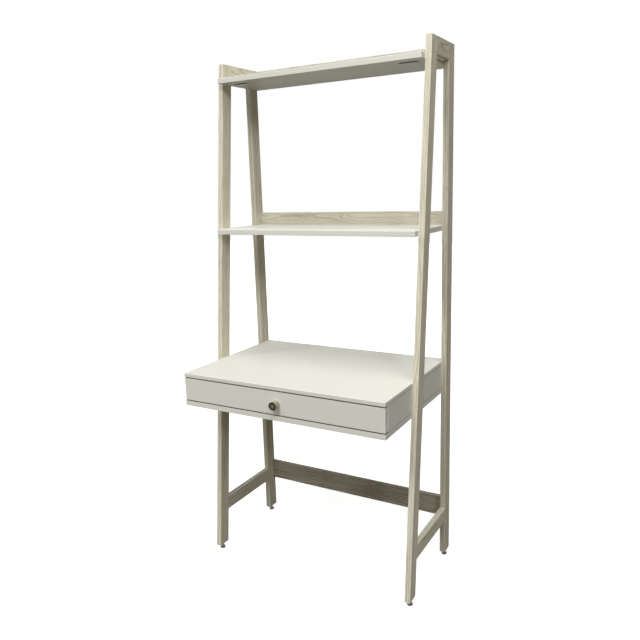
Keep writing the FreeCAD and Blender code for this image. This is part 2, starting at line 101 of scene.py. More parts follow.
lens = bpy.data.cameras.new("portrait_lens")
lens.sensor_width = CAMERA_SENSOR
lens.lens = CAMERA_LENS
lens.shift_x, lens.shift_y = CAMERA_SHIFT
camera = bpy.data.objects.new("portrait_camera", lens)
camera.matrix_world = camera_matrix(CAMERA_PLACE, CAMERA_YAW, CAMERA_PITCH, CAMERA_ROLL)
scene.collection.objects.link(camera)
scene.camera = camera
scene.view_settings.view_transform = "Standard"
desk_middle = (cad_box[0] + cad_box[1]) / 2
print("camera", round((CAMERA_PLACE - desk_middle).length, 2), "m from the desk's middle")


# %% [markdown]
# ## Shader arithmetic
#
# Every finish below is a small formula: how far from the edge, how wide a growth ring, how deep a
# pore. Written as a chain of Math nodes such a formula is hard to read, so `Wire` wraps one socket and
# lets Python's own `+ - * /` add the nodes. The reflected forms, such as `__rsub__`, are there so that
# `1 - mask` works as well as `mask - 1`.

# %% Wire
class Wire:
    """One output socket, ready for arithmetic."""

    def __init__(self, finish, socket):
        self.finish = finish
        self.socket = socket

    def math(self, operation, *values):
        return self.finish.add("Math", {"operation": operation}, dict(enumerate(values)))

    def __add__(self, other):
        return self.math("ADD", self, other)

    def __radd__(self, other):
        return self.math("ADD", other, self)

    def __sub__(self, other):
        return self.math("SUBTRACT", self, other)

    def __rsub__(self, other):
        return self.math("SUBTRACT", other, self)

    def __mul__(self, other):
        return self.math("MULTIPLY", self, other)

    def __rmul__(self, other):
        return self.math("MULTIPLY", other, self)

    def __truediv__(self, other):
        return self.math("DIVIDE", self, other)

    def __rtruediv__(self, other):
        return self.math("DIVIDE", other, self)

    def __pow__(self, other):
        return self.math("POWER", self, other)

    def size(self):
        return self.math("ABSOLUTE", self)

    def root(self):
        return self.math("SQRT", self)

    def sine(self):
        return self.math("SINE", self)

    def part(self):
        return self.math("FRACT", self)

    def smaller(self, other):
        return self.math("MINIMUM", self, other)

    def larger(self, other):
        return self.math("MAXIMUM", self, other)

    def rise(self, low, high):
        """0 below low, 1 above high, smooth between."""
        sockets = {"Value": self, "From Min": low, "From Max": high}
        return self.finish.add("MapRange", {"interpolation_type": "SMOOTHSTEP"}, sockets)


def words(kind):
    return ", ".join(name for name in vars(kind) if not name.startswith("_"))


print("beside arithmetic a wire knows:", words(Wire))


# %% [markdown]
# ## A finish in the making
#
# A material could be wired up node by node, but the same few nodes come back in every finish on this
# desk. `Finish.add` makes any node: it sets the node up first, then its sockets, each from a number or
# from another `Wire`. The methods after it name the nodes that return most: a place on the piece, a
# noise, a mix of two colours, a bump. Places are Object coordinates, so that a pattern stays with its
# board when the drawer moves.

# %% Finish
class Finish:
    """A material in the making."""

    def __init__(self, name, world=None, shader="Principled BSDF"):
        self.material = world or bpy.data.materials.new(name)
        self.material.use_nodes = True
        self.tree = self.material.node_tree
        self.shader = self.tree.nodes[shader]

    def feed(self, socket, value):
        if isinstance(value, Wire):
            self.tree.links.new(value.socket, socket)
        else:
            socket.default_value = value

    def add(self, kind, settings=None, sockets=None, output=0):
        node = self.tree.nodes.new("ShaderNode" + kind)
        for name, value in (settings or {}).items():
            setattr(node, name, value)
        for key, value in (sockets or {}).items():
            self.feed(node.inputs[key], value)
        return Wire(self, node.outputs[output])

    def place(self, turn=(0, 0, 0), offset=(0, 0, 0), scale=(1, 1, 1), of=None):
        """Object coordinates, or another place, scaled, turned and then moved."""
        spot = of or self.add("TexCoord", output="Object")
        sockets = {"Vector": spot, "Location": offset, "Rotation": turn, "Scale": scale}
        return self.add("Mapping", None, sockets)

    def axes(self, place):
        return [self.add("SeparateXYZ", None, {0: place}, axis) for axis in range(3)]

    def noise(self, place, scale=1.0, detail=2.0, roughness=0.5):
        sockets = {"Vector": place, "Scale": scale, "Detail": detail, "Roughness": roughness}
        return self.add("TexNoise", None, sockets)

    def mix(self, share, first, second):
        sockets = {"Factor": share, "A": first, "B": second}
        return self.add("Mix", {"data_type": "RGBA"}, sockets, "Result")

    def bump(self, height, strength, distance):
        sockets = {"Height": height, "Strength": strength, "Distance": distance}
        return self.add("Bump", None, sockets)

    def set(self, **sockets):
        for name, value in sockets.items():
            self.feed(self.shader.inputs[name.replace("_", " ")], value)
        return self.material


print("a finish offers:", words(Finish))


# %% [markdown]
# ## White lacquer
#
# The shelves, the desk box and the drawer front are board with a sprayed satin lacquer, off-white with
# a slight green-grey cast. Sprayed lacquer is never quite flat: it has a fine orange peel, and it shines
# a little less where hands and things rub it. Along the arrises the colour is painted paler, a painted
# highlight where the edge catches the light, and undersides are painted darker as painted shade. Holes
# and pockets are bored after spraying, so inside them the brown core of the board shows. The core and
# the highlight both follow from the board's own box: of a point's three distances to its faces the
# smallest is nearly 0 on any sprayed face, and larger only in a hole. The second smallest tells how near
# the edge is. An edge mask could also be painted by hand, but this one fits any board of any size.

# %% Lacquer
def rgb(red, green, blue):
    return (red, green, blue, 1.0)


LACQUER = rgb(0.80, 0.80, 0.725)
LACQUER_ARRIS_HIGHLIGHT = rgb(0.90, 0.90, 0.85)
LACQUER_WORN = rgb(0.74, 0.735, 0.67)
LACQUER_UNDERSIDE_SHADE = rgb(0.585, 0.56, 0.483)
CORE_AND_GAP_SHADE = rgb(0.135, 0.115, 0.083)
LACQUER_HIGHLIGHT_REACH = (0.0006, 0.0026)
BORED_DEPTH = (0.0008, 0.0016)
UNDERSIDE_SHADE_DEPTH = (0.0006, 0.0001)
GAP_SHADE_DEPTH = (0.0009, 0.0006)
CLOUD_SIZE, RUB_SIZE, PEEL_SIZE = 7.0, 38.0, 420.0
PEEL_BUMP = (0.05, 0.0002)
LACQUER_SHINE = 0.05


def lacquer(node, gap_shade=()):
    """The faces listed after the node are painted dark brown as painted shade in a gap: each is an axis
    number, the way along it, and how dark it is.
    """
    finish = Finish("lacquer_" + node)
    low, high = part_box(node)
    half = (high - low) / 2
    local = finish.axes(finish.place(offset=tuple(-(low + high) / 2)))

    def on_face(axis, way, depths):
        return (local[axis] * way).rise(half[axis] - depths[0], half[axis] - depths[1])

    gaps = [extent - axis.size() for axis, extent in zip(local, half)]
    small, large = gaps[0].smaller(gaps[1]), gaps[0].larger(gaps[1])
    bored, edge = small.smaller(gaps[2]), small.larger(large.smaller(gaps[2]))
    spot = finish.place()
    cloud = finish.noise(spot, CLOUD_SIZE, 3.0)
    rub = finish.noise(spot, RUB_SIZE, 4.0, 0.65)
    arris = 1 - edge.rise(*LACQUER_HIGHLIGHT_REACH)
    # Painted highlight: the arrises are painted paler, more where the rub noise is high.
    colour = finish.mix(arris * (0.35 + 0.5 * rub), LACQUER, LACQUER_ARRIS_HIGHLIGHT)
    colour = finish.mix((cloud - 0.5) * 0.10 + 0.03, colour, LACQUER_WORN)
    # Painted shade: every underside is painted darker.
    colour = finish.mix(on_face(2, -1, UNDERSIDE_SHADE_DEPTH) * 0.85, colour, LACQUER_UNDERSIDE_SHADE)
    # Inside bored holes the core shows; the faces listed after the node get the same dark brown as
    # painted shade.
    core = bored.rise(*BORED_DEPTH)
    for axis, way, share in gap_shade:
        core = core.larger(share * on_face(axis, way, GAP_SHADE_DEPTH))
    colour = finish.mix(core, colour, CORE_AND_GAP_SHADE)
    peel = finish.noise(spot, PEEL_SIZE, 2.0)
    roughness = 0.42 + 0.14 * rub.rise(0.35, 0.75) - 0.05 * cloud
    return finish.set(Base_Color=colour, Roughness=roughness, Specular_IOR_Level=LACQUER_SHINE,
                      Normal=finish.bump(peel, *PEEL_BUMP))


# The painted highlight on the arrises reaches this far from the edge.
print("lacquer is thin within", round(LACQUER_HIGHLIGHT_REACH[1] / MM, 1), "mm of an arris")


# %% [markdown]
# ## The lacquered boards
#
# Undersides are painted darker, as painted shade. Faces that are glued together, or that only look into
# a narrow gap, are painted the dark brown of the board's core, which is painted shade in the gaps, and
# the drawer front's upper edge gets three quarters of that brown, which is why the lines round the
# drawer front are so dark. The boards keep the mesh of the construction: a finish only goes into their
# material slots.

# %% Lacquered boards
# Faces painted dark brown as painted shade in the gaps: an axis, the way along it, and how dark.
GAP_SHADE_UNDER, GAP_SHADE_OVER, PART_GAP_SHADE_OVER = (2, -1, 1.0), (2, 1, 1.0), (2, 1, 0.75)
LACQUERED = {
    "top_shelf": (),
    "middle_shelf": (),
    "desk_back": (),
    "desk_top": (GAP_SHADE_UNDER,),
    "desk_bottom": (GAP_SHADE_OVER,),
    "left_desk_side": (GAP_SHADE_UNDER, GAP_SHADE_OVER),
    "right_desk_side": (GAP_SHADE_UNDER, GAP_SHADE_OVER),
    "drawer_front": (PART_GAP_SHADE_OVER,),
}


def dress(node, material):
    for slot in nodes[node].material_slots:
        slot.material = material


for node, gap_shade in LACQUERED.items():
    dress(node, lacquer(node, gap_shade))
print("lacquered:", len(LACQUERED), "boards")


# %% [markdown]
# ## Whitewashed wood
#
# The frames and rails are a coarse-grained wood under a thin white wash, so the rings and pores show
# as beige and grey lines. A painted stripe would look the same on every face. Here each board is
# instead sawn from an imaginary log: its Object coordinates are turned so that the grain runs along Z,
# and moved so that the heart of the log lies at a chosen spot beside it. The front legs lean, and so
# does their grain. How far they lean is measured from the boxes of a leaning and an upright leg.

# %% Ways of the grain
UPRIGHT = (0.0, 0.0, 0.0)
ALONG_WALL = (0.0, -math.pi / 2, 0.0)
TO_WALL = (math.pi / 2, 0.0, 0.0)


def lean_of(front_leg, rear_leg):
    (front_low, front_high), (rear_low, rear_high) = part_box(front_leg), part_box(rear_leg)
    drift = (front_high.y - front_low.y) - (rear_high.y - rear_low.y)
    return math.atan2(drift, front_high.z - front_low.z)


LEANING = (lean_of("right_front_leg", "right_rear_leg"), 0.0, 0.0)
print("front legs lean", round(math.degrees(LEANING[0]), 2), "degrees")


# %% [markdown]
# ## Growth rings
#
# A point's ring follows from its distance to the heart of the log. No tree grows in true circles, so a
# slow drift and a quick ripple bend that distance, and a knot pushes the rings aside round it. Faces
# cut along the rings then show arches, and faces cut across them show straight lines, as on the real
# boards. All noises are stretched along the grain, which is what makes them look like wood.

# %% Rings
DRIFT, RIPPLE = (5.0, 5.0, 1.7), (46.0, 46.0, 9.0)
DRIFT_REACH, RIPPLE_REACH, KNOT_REACH = 0.052, 0.0060, 0.034
KNOT_LENGTH = 1.9


def along_grain(finish, log, stretch, detail, roughness=0.5):
    return finish.noise(finish.place(of=log, scale=stretch), 1.0, detail, roughness)


def ring_radius(finish, log, axes, knots):
    """A knot is a place along the grain, a place across it and a reach."""
    across, deep, along = axes
    slow = along_grain(finish, log, DRIFT, 2.0) - 0.5
    quick = along_grain(finish, log, RIPPLE, 3.0) - 0.5
    heart_gap = (across * across + deep * deep).root()
    radius = heart_gap + slow * DRIFT_REACH + quick * RIPPLE_REACH
    for place, side, reach in knots:
        gap = ((along - place) / (KNOT_LENGTH * reach)) ** 2 + ((across - side) / reach) ** 2
        radius = radius + KNOT_REACH / (1 + gap)
    return radius


print("rings drift", DRIFT_REACH / 2 / MM, "mm and ripple", RIPPLE_REACH / 2 / MM, "mm either way")


# %% [markdown]
# ## Section of a board
#
# The arrises get a paler band, partly worn wash and partly a painted highlight, so the finish has to
# know how far a point lies from them. It takes that from the board's section, its width and depth across
# the grain. The box of an upright or level board gives both. The box of a leaning leg is deeper than the
# leg, so its section comes from the upright leg behind it, which has the same section on the level.

# %% Section
def section(node, turn):
    """Half the width and half the depth of a board, across its grain."""
    if turn == LEANING:
        low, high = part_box(node.replace("front", "rear"))
        return (high.x - low.x) / 2, (high.y - low.y) / 2 * math.cos(turn[0])
    low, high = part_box(node)
    half = Euler(turn).to_matrix() @ ((high - low) / 2)
    return abs(half.x), abs(half.y)


leg_section = [round(2 * half / MM, 1) for half in section("right_front_leg", LEANING)]
print("a front leg's section is", leg_section, "mm")


# %% [markdown]
# ## Wash over the grain
#
# The wash lies thick on the soft early wood and thin on the hard late wood of each ring, so the late
# wood shows through darker. Fine streaks and open pores run along the grain, and the pores also sink
# into the surface, which a small bump shows. The arrises are paler, partly worn wash and partly a
# painted highlight.

# %% Wash
WASH = rgb(0.771, 0.717, 0.572)
WASH_PALE = rgb(0.836, 0.797, 0.663)
GRAIN = rgb(0.378, 0.328, 0.241)
PORE = rgb(0.219, 0.185, 0.1285)
CLOUDS, STREAKS, PORES = (26.0, 26.0, 4.0), (140.0, 140.0, 6.0), (900.0, 900.0, 30.0)
VIGOUR_ACROSS, VIGOUR_ALONG = 60.0, 4.0
LATE_START, LATE_END = (0.0, 0.12), (0.16, 0.62)
WOOD_ARRIS_HIGHLIGHT = (0.0006, 0.0024)
PORE_BUMP = (0.35, 0.0004)
WOOD_SHINE = 0.06


def tinted(colour, tone):
    return rgb(*(channel * tone for channel in colour[:3]))


def whitewash(node, turn, heart, tone, figure, ring_width=0.0062, knots=()):
    """Figure is how strongly the rings show."""
    finish = Finish("whitewash_" + node)
    low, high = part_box(node)
    centre = Euler(turn).to_matrix() @ ((low + high) / 2)
    log = finish.place(turn, tuple(Vector((*heart, 0.0)) - centre))
    across, deep, along = axes = finish.axes(log)
    radius = ring_radius(finish, log, axes, knots)
    ring = (radius / ring_width).part()
    late = ring.rise(*LATE_START) * (1 - ring.rise(*LATE_END))
    spread = finish.add("CombineXYZ", None, {0: radius * VIGOUR_ACROSS, 1: along * VIGOUR_ALONG})
    vigour = finish.noise(spread, 1.0, 2.0)
    cloud = along_grain(finish, log, CLOUDS, 3.0, 0.6)
    streak = along_grain(finish, log, STREAKS, 4.0, 0.65)
    pores = along_grain(finish, log, PORES, 2.0, 0.6).rise(0.52, 0.64) * (0.3 + 0.7 * late)
    wide, thick = section(node, turn)
    edge = (wide - (across - heart[0]).size()).larger(thick - (deep - heart[1]).size())
    arris = 1 - edge.rise(*WOOD_ARRIS_HIGHLIGHT)
    wash, pale, grain, pore = (tinted(colour, tone) for colour in (WASH, WASH_PALE, GRAIN, PORE))
    colour = finish.mix(cloud.rise(0.30, 0.68), wash, pale)
    colour = finish.mix(late * vigour.rise(0.25, 0.65) * (0.55 * figure), colour, grain)
    colour = finish.mix(streak.rise(0.48, 0.70) * (0.18 + 0.20 * figure), colour, grain)
    colour = finish.mix(pores * 0.5, colour, pore)
    # Paler arrises: partly worn wash, partly a painted highlight.
    colour = finish.mix(arris * 0.55, colour, pale)
    relief = 1 - 0.7 * pores - 0.3 * late
    roughness = 0.62 + 0.16 * pores + 0.08 * streak
    return finish.set(Base_Color=colour, Roughness=roughness, Specular_IOR_Level=WOOD_SHINE,
                      Normal=finish.bump(relief, *PORE_BUMP))


print("late wood fills the first", round(100 * LATE_END[1]), "% of a ring")


# %% [markdown]
# ## The sawn boards
#
# No two boards come from the same spot of the log. Each gets the way of its grain, the place of the
# heart beside it in metres, a tone, and the strength of its figure. The middle rail is cut close to
# the heart and shows arches and a knot, the low rail is cut far from it. The low tones of the three
# rails and of the right rear leg are painted shade, for these stand in shade behind and under the
# shelves and the desk box.

# %% Sawn boards
# Painted shade: the low tones of the three rails and of the right rear leg.
SAWN = {
    "right_front_leg": (LEANING, (0.050, 0.075), 1.02, 0.85),
    "left_front_leg": (LEANING, (-0.046, 0.080), 1.03, 0.85),
    "right_rear_leg": (UPRIGHT, (0.060, -0.062), 0.91, 0.9),
    "left_rear_leg": (UPRIGHT, (-0.055, -0.066), 0.99, 0.9),
    "right_end_panel": (TO_WALL, (0.024, 0.012), 0.94, 1.1),
    "left_end_panel": (TO_WALL, (-0.030, 0.020), 1.0, 0.8),
    "right_side_stretcher": (TO_WALL, (0.060, 0.040), 0.96, 0.9),
    "left_side_stretcher": (TO_WALL, (-0.064, 0.048), 0.90, 0.9),
    "top_rail": (ALONG_WALL, (0.035, 0.060), 0.74, 0.8),
    "middle_rail": (ALONG_WALL, (0.012, 0.026), 0.82, 0.9, 0.0042, ((-0.045, -0.017, 0.011),)),
    "low_rail": (ALONG_WALL, (-0.060, 0.075), 0.74, 1.6, 0.0060),
}
for node, cut in SAWN.items():
    dress(node, whitewash(node, *cut))
print("sawn from the log:", len(SAWN), "boards")


# %% [markdown]
# ## Birch plywood
#
# The drawer's box is thin birch plywood under clear varnish. Its faces show pale veneer with fine
# lines, its sawn edges show the plies, each turned across the next, so that every second one is seen
# on its darker end grain. Counting plies through the thickness gives both at once, since a face only
# ever cuts the outermost ply.

# %% Plywood
BIRCH = rgb(0.66, 0.50, 0.31)
BIRCH_LINE = rgb(0.50, 0.35, 0.20)
BIRCH_END = rgb(0.36, 0.24, 0.13)
PLY = 1.33 * MM
BIRCH_SHINE = 0.35
LINES_ACROSS, LINES_ALONG, SPECK_SIZE = 120.0, 5.0, 900.0


def plywood(node, through, grain):
    """Through and grain are the axes, 0 to 2, of the sheet's thickness and of its face grain."""
    finish = Finish("plywood_" + node)
    low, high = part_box(node)
    spot = finish.place(offset=tuple(-low))
    pair = (finish.axes(spot)[through] / PLY * 0.5).part()
    crossed = pair.rise(0.46, 0.54) * (1 - pair.rise(0.95, 1.0))
    stretch = [LINES_ACROSS] * 3
    stretch[grain] = LINES_ALONG
    lines = finish.noise(finish.place(of=spot, scale=tuple(stretch)), 1.0, 3.0, 0.6)
    specks = finish.noise(spot, SPECK_SIZE, 1.0)
    colour = finish.mix(lines.rise(0.45, 0.75) * 0.6, BIRCH, BIRCH_LINE)
    colour = finish.mix(crossed * (0.45 + 0.4 * specks), colour, BIRCH_END)
    return finish.set(Base_Color=colour, Roughness=0.45 + 0.15 * lines, Specular_IOR_Level=BIRCH_SHINE)


PLYWOOD = {"left_drawer_side": (0, 1), "right_drawer_side": (0, 1), "drawer_sub_front": (1, 0),
           "drawer_back": (1, 0), "drawer_bottom": (2, 0)}
for node, axes in PLYWOOD.items():
    dress(node, plywood(node, *axes))
print("plywood:", len(PLYWOOD), "sheets of the drawer's box")


# %% [markdown]
# ## Plated and moulded hardware
#
# Bolts, slides and cams are bright zinc plate, the inserts raw brass, the foot stems blackened and the
# pads moulded nylon. What tells such metals apart at this size is their colour and how much they blur
# a reflection, so one recipe serves all: a base colour, a roughness, and a slow cloudiness that breaks
# up the reflection as handled plating does.

# %% Hardware finishes
CLOUDY_TONE, CLOUDY_SIZE = 0.72, 45.0


def plated(name, colour, roughness, metal=1.0):
    finish = Finish(name)
    cloud = finish.noise(finish.place(), CLOUDY_SIZE, 2.0)
    mottled = finish.mix(cloud.rise(0.40, 0.80) * 0.4, colour, tinted(colour, CLOUDY_TONE))
    return finish.set(Base_Color=mottled, Metallic=metal, Roughness=roughness + 0.10 * (cloud - 0.5))


ZINC = plated("zinc_plate", rgb(0.52, 0.53, 0.52), 0.34)
SLIDE_ZINC = plated("slide_zinc", rgb(0.53, 0.545, 0.55), 0.30)
CAST_ZINC = plated("cast_zinc", rgb(0.40, 0.40, 0.39), 0.48)
BRASS = plated("raw_brass", rgb(0.72, 0.52, 0.22), 0.36)
BLACKENED = plated("blackened_steel", rgb(0.38, 0.38, 0.36), 0.38)
NYLON = plated("moulded_nylon", rgb(0.34, 0.34, 0.325), 0.46, 0.0)
METALS = (ZINC, SLIDE_ZINC, CAST_ZINC, BRASS, BLACKENED)
print("metals:", ", ".join(metal.name for metal in METALS), "and a plastic:", NYLON.name)


# %% [markdown]
# ## Hardware that keeps its plain shape
#
# Washers, cam bolts, inserts and ball cages are small and mostly hidden, so their solids do as they
# are and only get a finish. So do the dowels, which are raw beech: a pale wood with short dark flecks.

# %% Plain hardware
BEECH, BEECH_FLECK = rgb(0.62, 0.42, 0.25), rgb(0.48, 0.30, 0.16)
FLECKS = (700.0, 160.0, 700.0)


def beech(node):
    finish = Finish("beech_" + node)
    fleck = finish.noise(finish.place(scale=FLECKS), 1.0, 2.0)
    return finish.set(Base_Color=finish.mix(fleck, BEECH, BEECH_FLECK), Roughness=0.7)


HARDWARE = {"bolt_washers": ZINC, "rail_cam_bolts": ZINC, "leg_inserts": BRASS, "foot_inserts": BRASS,
            "wood_dowels": beech("wood_dowels"), "drawer_dowels": beech("drawer_dowels")}
for side in ("left", "right"):
    HARDWARE[side + "_outer_ball_cage"] = HARDWARE[side + "_inner_ball_cage"] = SLIDE_ZINC
for node, material in HARDWARE.items():
    dress(node, material)
print("hardware finished as it stands:", len(HARDWARE), "pieces")


# %% [markdown]
# ## Handing over a modelled piece
#
# The construction shows most hardware as plain solids. The next cells model it again with its real
# shape. `as_piece` turns a finished bmesh into an object at the origin, with its place in its mesh. It
# turns all faces outwards, smooths the soft bends and leaves the hard edges sharp. Then it lets the
# piece ride on the body that carried the old solid and hides the solid that it replaces.

# %% Pieces
BODIES = frame["record"]["behaviour"]["bodies"]
BODY_OF = {node: body for body, members in BODIES.items() for node in members}
SMOOTH_BELOW = math.radians(38)


def as_piece(name, shape, material, *stands_for):
    bmesh.ops.recalc_face_normals(shape, faces=shape.faces)
    data = bpy.data.meshes.new(name)
    shape.to_mesh(data)
    shape.free()
    data.shade_smooth()
    data.set_sharp_from_angle(angle=SMOOTH_BELOW)
    data.materials.append(material)
    piece = bpy.data.objects.new(name, data)
    scene.collection.objects.link(piece)
    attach(piece, BODY_OF[stands_for[0]])
    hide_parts(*stands_for)
    span = [round(extent / MM, 1) for extent in piece.dimensions]
    print(name, "has", len(data.polygons), "faces and spans", span, "mm")


# %% [markdown]
# ## The drawer's knob and its painted face
#
# The knob is a small turned drum of pale pewter, dulled here and there by rubbing. Its face is painted
# nearly black with an olive band, as a painted dark reflection of the room in front. The colours follow
# how close a point is to the face and how far it lies from the middle, and fine circles of bump are the
# marks of the lathe.

# %% Knob colour and painted face
PEWTER, PEWTER_DULL = rgb(0.47, 0.43, 0.34), rgb(0.36, 0.33, 0.26)
FACE_PAINTED_DARK, FACE_PAINTED_OLIVE = rgb(0.020, 0.018, 0.010), rgb(0.125, 0.117, 0.072)
FACE_DEPTH = (0.0009, 0.0030)
FIELD_RADIUS, FIELD_WIDTH = 0.0062, (0.0022, 0.0036)
LATHE_MARKS, LATHE_BUMP = 9000.0, (0.08, 0.0001)
KNOB_RUB_SIZE, KNOB_SHINE = 240.0, 0.12

knob_low, knob_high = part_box("knob")
KNOB_LENGTH = (knob_high.y - knob_low.y) / MM
KNOB_RADIUS = (knob_high.x - knob_low.x) / MM / 2
KNOB_BASE = Vector(((knob_low.x + knob_high.x) / 2, knob_high.y, (knob_low.z + knob_high.z) / 2))


def knob_colour_and_painted_face():
    finish = Finish("pewter_knob")
    spot = finish.place(offset=tuple(-KNOB_BASE))
    across, out, tall = finish.axes(spot)
    depth = out + KNOB_LENGTH * MM
    radius = (across * across + tall * tall).root()
    rub = finish.noise(spot, KNOB_RUB_SIZE, 3.0, 0.6)
    face = 1 - depth.rise(*FACE_DEPTH)
    field = face * (1 - (radius - FIELD_RADIUS).size().rise(*FIELD_WIDTH))
    # Painted dark reflection: the face is nearly black, with an olive band.
    colour = finish.mix(face, finish.mix(rub.rise(0.35, 0.7), PEWTER, PEWTER_DULL), FACE_PAINTED_DARK)
    colour = finish.mix(field * 0.85, colour, FACE_PAINTED_OLIVE)
    lathe = (radius * LATHE_MARKS).sine()
    return finish.set(Base_Color=colour, Metallic=0.55 - 0.5 * face, Roughness=0.42 + 0.12 * rub,
                      Normal=finish.bump(lathe, *LATHE_BUMP), Specular_IOR_Level=KNOB_SHINE)


print("knob", round(2 * KNOB_RADIUS, 1), "mm across and", round(KNOB_LENGTH, 1), "mm long")


# %% [markdown]
# ## Turning the knob
#
# The round pieces could be joined from cylinders and cones, but a maker turns them on a lathe, and so
# does `turned`: it spins one outline of (radius, height) in millimetres once round Z and merges the
# points that meet on the axis. `turn_to` then points a piece's own Z the way that it faces. The knob's
# drum flares a little towards its face, which is dished inside a rounded rim, with a fine groove and a
# centre dimple. The face's points are measured from the knob's own radius and length.

# %% Knob
MERGE = 1e-6
KNOB_STEPS = 72
KNOB_FOOT = [(0.0, 0.0), (11.4, 0.0), (12.0, 0.6)]
FLARE_RADIUS, FLARE_GROWTH, FLARE_START, FLARE_SHORT, FLARE_STEPS = 12.1, 1.6, 1.5, 5.0, 6
FACE_OUTLINE = ((0.0, -1.6), (-0.45, -0.75), (-1.1, -0.25), (-1.9, 0.0), (-2.7, -0.1), (-3.3, -0.55),
                (-3.7, -1.05), (-4.3, -1.2), (-4.9, -0.95), (-7.0, -0.75), (-9.6, -0.75), (-10.4, -1.0),
                (-11.2, -1.9), (-12.6, -2.3), (-14.0, -2.4))


def turned(outline, steps):
    shape = bmesh.new()
    points = [shape.verts.new((radius * MM, 0.0, height * MM)) for radius, height in outline]
    edges = [shape.edges.new(pair) for pair in zip(points, points[1:])]
    bmesh.ops.spin(shape, geom=points + edges, cent=(0, 0, 0), axis=(0, 0, 1), angle=2 * math.pi,
                   steps=steps, use_merge=True)
    bmesh.ops.remove_doubles(shape, verts=shape.verts, dist=MERGE)
    return shape


def turn_to(direction):
    return Vector(direction).to_track_quat("Z", "Y").to_matrix().to_4x4()


drum_outline = list(KNOB_FOOT)
for step in range(FLARE_STEPS + 1):
    drum_outline.append((FLARE_RADIUS + FLARE_GROWTH * step / FLARE_STEPS,
                         FLARE_START + (KNOB_LENGTH - FLARE_SHORT) * step / FLARE_STEPS))
for radius, height in FACE_OUTLINE:
    drum_outline.append((KNOB_RADIUS + radius, KNOB_LENGTH + height))
knob = turned(drum_outline, KNOB_STEPS)
bmesh.ops.transform(knob, matrix=Matrix.Translation(KNOB_BASE) @ turn_to((0, -1, 0)), verts=knob.verts)
as_piece("turned_knob", knob, knob_colour_and_painted_face(), "knob")


# %% [markdown]
# ## Pads of the levelling feet
#
# Each leg stands on a swivel leveller, and its pad is moulded with a fluted rim to grip. The flutes
# could be cut one by one with booleans. It is simpler to turn the pad in many steps and to inset every
# second face of its rim on its own.

# %% Foot pads
FEET = ("left_front", "left_rear", "right_front", "right_rear")
PAD_OUTLINE = ((0.0, 2.0), (4.05, 2.0), (4.05, 5.2), (4.7, 5.6), (5.4, 6.0), (8.6, 6.0), (9.4, 5.7),
               (10.0, 4.9), (10.0, 1.2), (9.7, 0.4), (9.0, 0.0), (0.0, 0.0))
PAD_STEPS = 60
RIM_OUTSIDE, RIM_SLOPE = 9.8, 0.1
FLUTE_MARGIN, FLUTE_DEPTH = 0.12, 0.35


def foot_pad(spot):
    pad = turned(PAD_OUTLINE, PAD_STEPS)
    flutes = []
    for face in pad.faces:
        middle = face.calc_center_median()
        if abs(face.normal.z) < RIM_SLOPE and middle.xy.length > RIM_OUTSIDE * MM:
            if round(math.atan2(middle.y, middle.x) / (2 * math.pi) * PAD_STEPS - 0.5) % 2:
                flutes.append(face)
    bmesh.ops.inset_individual(pad, faces=flutes, thickness=FLUTE_MARGIN * MM, depth=-FLUTE_DEPTH * MM)
    bmesh.ops.translate(pad, vec=spot, verts=pad.verts)
    return pad


def foot_spot(foot):
    low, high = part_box(foot + "_foot_pad")
    return Vector(((low.x + high.x) / 2, (low.y + high.y) / 2, 0.0))


for foot in FEET:
    as_piece(foot + "_fluted_pad", foot_pad(foot_spot(foot)), NYLON, foot + "_foot_pad")


# %% [markdown]
# ## Stems of the levelling feet
#
# The stem is threaded, with a hexagonal collar for a spanner. The thread is one V drawn with `spin`,
# which also climbs by a fraction of the pitch at each step, the way a thread is cut. `remove_doubles`
# joins each turn to the next, and `holes_fill` closes the first and the last. The core inside the
# thread, the journal below the collar and the collar itself are plain rods, round or with six sides,
# and a small bevel softens the collar's edges.

# %% Foot stems
THREAD_PITCH, THREAD_CREST, THREAD_ROOT = 1.25, 3.93, 3.35
THREAD_STEPS, THREAD_MERGE = 24, 2e-6
CORE_PROUD, CORE_SIDES = 0.02, 32
COLLAR_LOW, COLLAR_HIGH, COLLAR_FLATS, COLLAR_BEVEL = 7.0, 12.0, 11.0, 0.45


def rod(shape, radius, bottom, top, sides):
    made = bmesh.ops.create_cone(shape, cap_ends=True, segments=sides, radius1=radius * MM,
                                 radius2=radius * MM, depth=(top - bottom) * MM)["verts"]
    bmesh.ops.translate(shape, vec=(0, 0, (bottom + top) / 2 * MM), verts=made)
    return made


def cut_thread(stem, start, turns):
    heights = (0.0, 0.5 * THREAD_PITCH, THREAD_PITCH)
    points = [stem.verts.new((radius * MM, 0.0, (start + height) * MM))
              for radius, height in zip((THREAD_ROOT, THREAD_CREST, THREAD_ROOT), heights)]
    edges = [stem.edges.new(pair) for pair in zip(points, points[1:])]
    bmesh.ops.spin(stem, geom=points + edges, cent=(0, 0, 0), axis=(0, 0, 1), angle=2 * math.pi * turns,
                   steps=THREAD_STEPS * turns, dvec=(0, 0, THREAD_PITCH * MM / THREAD_STEPS))
    bmesh.ops.remove_doubles(stem, verts=stem.verts, dist=THREAD_MERGE)
    bmesh.ops.holes_fill(stem, edges=[edge for edge in stem.edges if edge.is_boundary])


